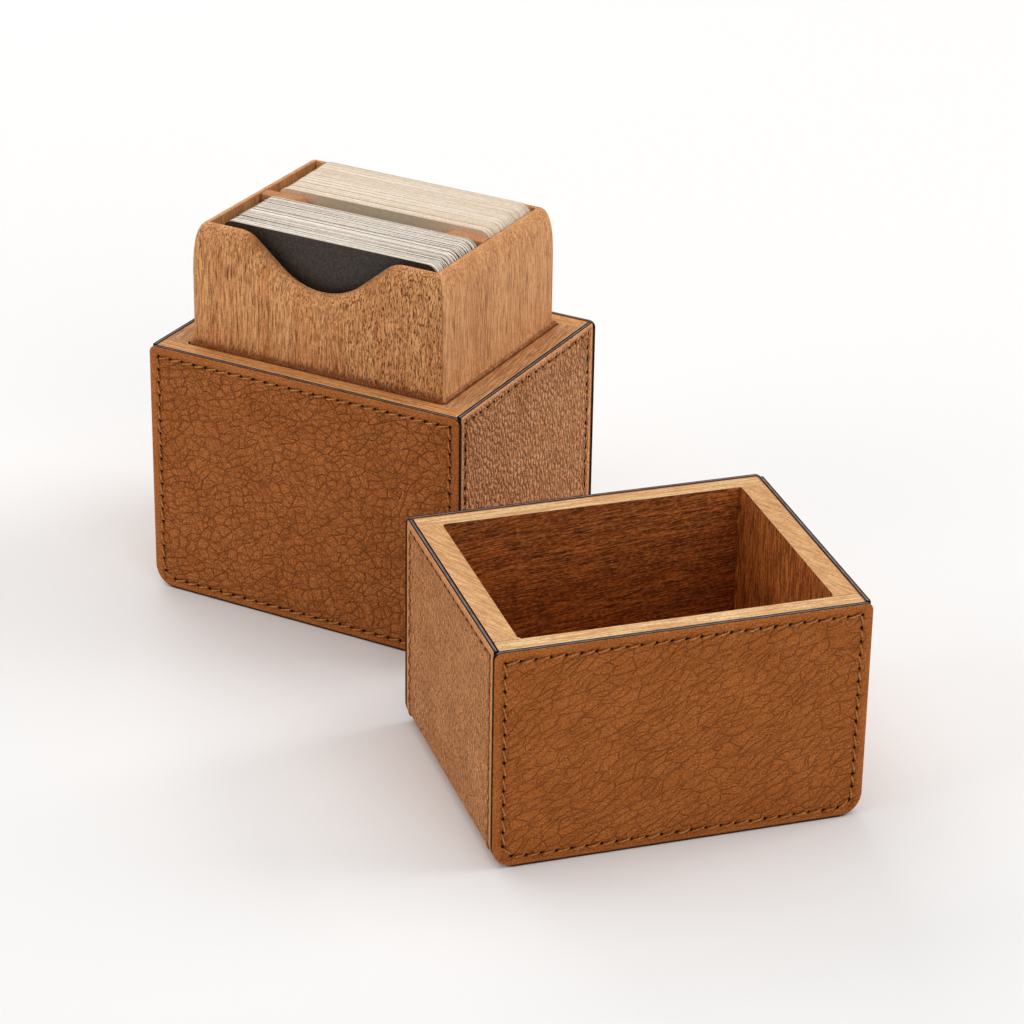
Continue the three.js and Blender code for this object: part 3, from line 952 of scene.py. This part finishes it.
def rim_wood(tree, place, case, kind, seed):
    """The pale wood of the rim. Its grain runs along the long boards, and across the short."""
    grown = place if kind == "long" else tree.mapped(place, (0.0, 0.0, RIM_GRAIN[case]))
    lines, marks = (streaked(tree, grown, 0, seed, streak) for streak in RIM_STREAKS[kind])
    marks = tree.ramp(marks, *((0.55, 0.7) if kind == "long" else (0.54, 0.68)))
    grit = streaked(tree, place, 0, seed, RIM_GRIT)
    shade, light, mark = RIM_TONES[case, kind]
    return tree.tint(
        tree.blend(lines, 0.38, 0.62, shade, light),
        (tree.times(marks, 0.8), mark), (tree.ramp(grit, 0.36, 0.54, 0.4, 0.0), mark),
    )


def case_wood(case, board):
    """Pale wood on the rim, and the darker, redder wood of the walls inside."""
    material, tree, shader = new_material(f"{case}_{board}_board")
    place = case_place(tree, case)
    kind = "long" if board in ("front", "back") else "short"
    seed = BOARD_SEEDS[board] + (LID_SEED if case == "lid" else 0.0)
    rim = rim_wood(tree, place, case, kind, seed)
    grown = tree.mapped(place, (0.0, WALL_CLIMB, 0.0)) if kind == "long" else place
    along = 2 if board in ("left", "right") else 0
    broad, fine, speck, pores = (
        streaked(tree, grown, along, seed, streak) for streak in WALL_STREAKS
    )
    pores = tree.ramp(pores, 0.55, 0.64)
    wall = tree.tint(
        tree.blend(broad, 0.32, 0.68, *WALL_TONES[kind]),
        (tree.ramp(fine, 0.42, 0.58, 0.0, 0.8), (100, 44, 10)),
        (tree.ramp(speck, *HIGH_SPECKS, 0.0, 0.55), (226, 148, 82)),
        (tree.ramp(speck, *LOW_SPECKS, 0.5, 0.0), (90, 38, 8)),
        (tree.times(pores, 0.9), (44, 14, 2)),
    )
    # The rim is the part of the top that faces up. Its eased edges get a pale painted highlight,
    # and so does the left board's inner edge.
    upward = tree.part(tree.normal(), 2)
    top = BASE_HEIGHT if case == "base" else LID_HEIGHT
    near_top = tree.ramp(tree.part(place, 2), top - 1, top - 0.6)
    on_rim = tree.times(tree.ramp(upward, 0.2, 0.4), near_top)
    eased_edge_highlight = tree.ramp(upward, 0.9, 0.995, 0.3, 0.0)
    axis = 1 if kind == "long" else 0
    from_inside = tree.minus(tree.math("ABSOLUTE", tree.part(place, axis)), OPENING[axis])
    inner_edge_highlight = tree.ramp(from_inside, 0.3, 0.8, 1.0 if board == "left" else 0.0, 0.0)
    rim = tree.tint(rim, (tree.larger(eased_edge_highlight, inner_edge_highlight), RIM_HIGHLIGHT))
    set_surface(tree, shader, tree.mix(on_rim, wall, rim), roughness=0.55, specular=0.2)
    relief = tree.plus(tree.times(pores, -1.0), tree.times(speck, 0.5))
    bump(tree, shader, relief, distance_mm=0.06)
    return material


def smooth_group(angle):
    """Shades every face smooth, and keeps edges sharper than an angle sharp."""
    group, tree, start = geometry_group("smooth_curves")
    shading = "GeometryNodeSetShadeSmooth"
    bend = tree.add("GeometryNodeInputMeshEdgeAngle").outputs[0]
    inputs = {0: bend, 1: angle}
    soft = tree.add("FunctionNodeCompare", inputs, operation="LESS_THAN", data_type="FLOAT")
    inputs = {"Geometry": start, "Shade Smooth": soft.outputs[0]}
    edges = tree.add(shading, inputs, domain="EDGE").outputs[0]
    faces = tree.add(shading, {"Geometry": edges, "Shade Smooth": True}, domain="FACE").outputs[0]
    tree.add("NodeGroupOutput", {0: faces})
    return group


SMOOTH = smooth_group(math.radians(32))
SHARP_EDGE = math.radians(50)
WELD_REACH, BOARD_EASE = 0.002, 0.4


def clad(node, material, ease_mm):
    """Gives a wooden piece its wood, eased edges where an ease is given, and smooth curves, with
    its solid as it is.
    """
    piece = frame["nodes"][node]
    piece.data.materials.clear()
    piece.data.materials.append(material)
    piece.modifiers.new("weld", "WELD").merge_threshold = WELD_REACH * MM
    if ease_mm > 0:
        ease = piece.modifiers.new("ease", "BEVEL")
        ease.width = ease_mm * MM
        ease.segments = 3
        ease.limit_method = "ANGLE"
        ease.angle_limit = SHARP_EDGE
    piece.modifiers.new("smooth", "NODES").node_group = SMOOTH


for case in ("base", "lid"):
    for board in BOARD_SEEDS:
        clad(f"{case}_{board}_board", case_wood(case, board), BOARD_EASE)
TRAY_FRONT = tray_wood(
    "tray_front", 5.0, (234, 162, 102), (255, 190, 128), 0.9, foot_shade_height=2.0, short_from=0.0
)
TRAY_SIDE = tray_wood("tray_side", 19.0, (227, 162, 108), (250, 187, 129), 0.65)
TRAY_INSIDE = tray_wood("tray_inside", 33.0, (200, 136, 90), (220, 156, 106), 0.5)
for node, material in (
    ("tray_front_wall", TRAY_FRONT), ("tray_back_wall", TRAY_FRONT),
    ("tray_left_wall", TRAY_SIDE), ("tray_right_wall", TRAY_SIDE),
    ("tray_divider", TRAY_INSIDE), ("tray_floor", TRAY_INSIDE),
):
    clad(node, material, 0.0)


# Cards


def card_edge(name, light, dark):
    """The edges of a deck's cards. Each card has its own tone."""
    material, tree, shader = new_material(name)
    speck = tree.ramp(tree.noise(tree.place(), 900.0), *MOST, -0.15, 0.15)
    share = tree.math("ADD", tree.own("tone"), speck, clamp=True)
    colour = tree.mix(share, srgb(light), srgb(dark))
    set_surface(tree, shader, colour, roughness=0.65, specular=0.25)
    return material


def card_outline(width, height):
    right, low, top = width / 2 - CARD_RADIUS, CARD_RADIUS, height - CARD_RADIUS
    corners = ((right, low, -90), (right, top, 0), (-right, top, 90), (-right, low, 180))
    return np.array([
        point for x, z, start in corners for point in quarter(x, z, CARD_RADIUS, start)
    ])


# How far a card stands off to the side, up and turned, as spreads in millimetres and radians, and
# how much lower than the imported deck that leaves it
CARD_SHIFT, CARD_LIFT, CARD_TURN = 0.12, 0.04, 0.0012
CARD_HEADROOM = 0.05
# Shares of the room between the cards: where a gap is open, and where it isn't
OPEN_GAP, CLOSED_GAP = (0.6, 1.2), (0.04, 0.16)
# How unlike each other the cards' edges are, and how slowly a deck rises towards its back
TONE_SPREAD, RISE_POWER = 0.3, 1.5
CARD_EDGE_SLOT, CARD_FACE_SLOT = 0, 1


def cards(name, stack, outline, materials, middle_x, bottom, wobble):
    """Cards one behind the other, each given by its front face, thickness, rise and tone."""
    vertices, faces, slots, tones = [], [], [], []
    count = len(outline)
    height = outline[:, 1].max()
    for y, thickness, rise, tone in stack:
        shift = wobble.gauss(0, CARD_SHIFT)
        lift = rise + abs(wobble.gauss(0, CARD_LIFT))
        turn = wobble.gauss(0, CARD_TURN)
        start = len(vertices)
        for depth in (0.0, thickness):
            for x, z in outline:
                up = lift * max(z, 0.0) / height
                place_x = middle_x + x + shift + turn * z
                vertices.append((place_x, y + depth, bottom + z + up - turn * x))
        tones += [tone] * (2 * count)
        front = list(range(start, start + count))
        back = [k + count for k in front]
        faces += [front, back[::-1]]
        for k in range(count):
            n = (k + 1) % count
            faces.append([front[n], front[k], back[k], back[n]])
        slots += [CARD_FACE_SLOT] * 2 + [CARD_EDGE_SLOT] * count
    piece = mesh_piece(name, vertices, faces, materials, slots, smooth=False)
    attribute(piece, "tone", tones)
    return piece


def deck(prefix, materials, seed, thickness, open_gaps, rise):
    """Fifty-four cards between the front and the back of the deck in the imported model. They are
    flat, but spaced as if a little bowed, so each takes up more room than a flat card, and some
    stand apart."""
    wobble = random.Random(seed)
    low, high = extent(f"{prefix}_face_card")
    outline = card_outline(high[0] - low[0], high[2] - low[2] - CARD_HEADROOM)
    front, back = low[1], extent(f"{prefix}_rear_card")[1][1]
    last = CARDS_IN_DECK - 1
    wide = set(wobble.sample(range(2, last - 1), open_gaps))
    gaps = [wobble.uniform(*(OPEN_GAP if k in wide else CLOSED_GAP)) for k in range(last)]
    share = (back - front - CARDS_IN_DECK * thickness) / sum(gaps)
    places, y = [], front
    for k in range(CARDS_IN_DECK):
        tone = 1.0 if k in (0, last) else min(1.0, abs(wobble.gauss(0.0, TONE_SPREAD)))
        places.append((y, thickness, rise * ((y - front) / (back - front)) ** RISE_POWER, tone))
        y += thickness + (gaps[k] * share if k < last else 0)
    middle = (low[0] + high[0]) / 2
    for name, part, node in (
        ("front_card", places[:1], "face_card"), ("pack", places[1:-1], "cards"),
        ("back_card", places[-1:], "rear_card"),
    ):
        piece = cards(f"{prefix}_{name}", part, outline, materials, middle, low[2], wobble)
        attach(piece, prefix)
        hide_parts(f"{prefix}_{node}")


FRONT_DECK = [
    card_edge("front_deck_edges", (252, 240, 225), (184, 166, 146)),
    two_toned("front_deck_print", (44, 36, 30), (72, 60, 52), *PRINT),
]
# The back deck's print is lighter than its own pale taupe: painted light on its face card, which
# stands in shade behind the front deck.
BACK_DECK = [
    card_edge("back_deck_edges", (244, 230, 213), (196, 170, 134)),
    two_toned("back_deck_print_painted_light", (244, 216, 180), (254, 230, 198), *PRINT),
]
deck("front_deck", FRONT_DECK, seed=11, thickness=0.315, open_gaps=19, rise=0.0)
deck("back_deck", BACK_DECK, seed=29, thickness=0.36, open_gaps=10, rise=0.6)


# Floor, light and camera

# How far the floor reaches, in millimetres
FAR = 6000.0
# Where the lamps aim. A lamp has a place and the side of its square, in metres, and its watts.
AIM = (0.03, -0.02, 0.03)
STUDIO = (
    ("overhead", (0.0, 0.0, 2.2), 3.0, 36.5),
    ("right_back", (1.3, 1.1, 1.2), 1.2, 15.4),
    ("left_back", (-1.3, 1.1, 1.2), 1.2, 11.5),
    ("left", (-1.8, -0.1, 0.9), 1.2, 7.0),
    ("left_front", (-1.2, -1.5, 1.0), 1.2, 8.0),
    ("right_front", (1.6, -1.2, 1.0), 1.2, 9.5),
)

# The camera as fitted to the photograph, which is 1024 pixels wide
CAMERA_PLACE = (0.4470, -0.7511, 0.4436)
CAMERA_AZIMUTH, CAMERA_PITCH, CAMERA_ROLL = math.radians(28.36), math.radians(26.0), 0.016
FOCAL_PIXELS, PHOTO_PIXELS = 3638.8, 1024
SENSOR_MM = 36.0


def floor():
    material, tree, shader = new_material("table")
    set_surface(tree, shader, srgb((251, 250, 249)), roughness=0.9, specular=0.1)
    corners = [(-FAR, -FAR, 0), (FAR, -FAR, 0), (FAR, FAR, 0), (-FAR, FAR, 0)]
    mesh_piece("table", corners, [(0, 1, 2, 3)], [material], smooth=False)


def world():
    """White behind the floor, and dark for every ray that would light the object."""
    made = bpy.data.worlds.new("studio")
    bpy.context.scene.world = made
    made.use_nodes = True
    tree = Tree(made.node_tree)
    rays = tree.add("ShaderNodeLightPath")
    seen = tree.larger(rays.outputs["Is Camera Ray"], rays.outputs["Is Transmission Ray"])
    background = made.node_tree.nodes["Background"]
    background.inputs["Color"].default_value = (1.0, 1.0, 1.0, 1.0)
    tree.feed(background.inputs["Strength"], seen)


def lamp(name, place, size, power):
    light = bpy.data.lights.new(name, "AREA")
    light.shape = "SQUARE"
    light.size = size
    light.energy = power
    piece = linked(name, light)
    piece.location = place
    piece.rotation_euler = (Vector(AIM) - Vector(place)).to_track_quat("-Z", "Y").to_euler()


def camera():
    data = bpy.data.cameras.new("camera")
    data.sensor_width = SENSOR_MM
    data.lens = SENSOR_MM * FOCAL_PIXELS / PHOTO_PIXELS
    data.clip_start, data.clip_end = 0.05, 20.0
    piece = linked("camera", data)
    piece.location = CAMERA_PLACE
    level = math.cos(CAMERA_PITCH)
    x, y = -math.sin(CAMERA_AZIMUTH) * level, math.cos(CAMERA_AZIMUTH) * level
    ahead = Vector((x, y, -math.sin(CAMERA_PITCH))).to_track_quat("-Z", "Y")
    piece.rotation_mode = "QUATERNION"
    piece.rotation_quaternion = ahead @ Quaternion((0, 0, 1), CAMERA_ROLL)
    bpy.context.scene.camera = piece


floor()
world()
for settings in STUDIO:
    lamp(*settings)
camera()
bpy.context.scene.view_settings.view_transform = "Standard"
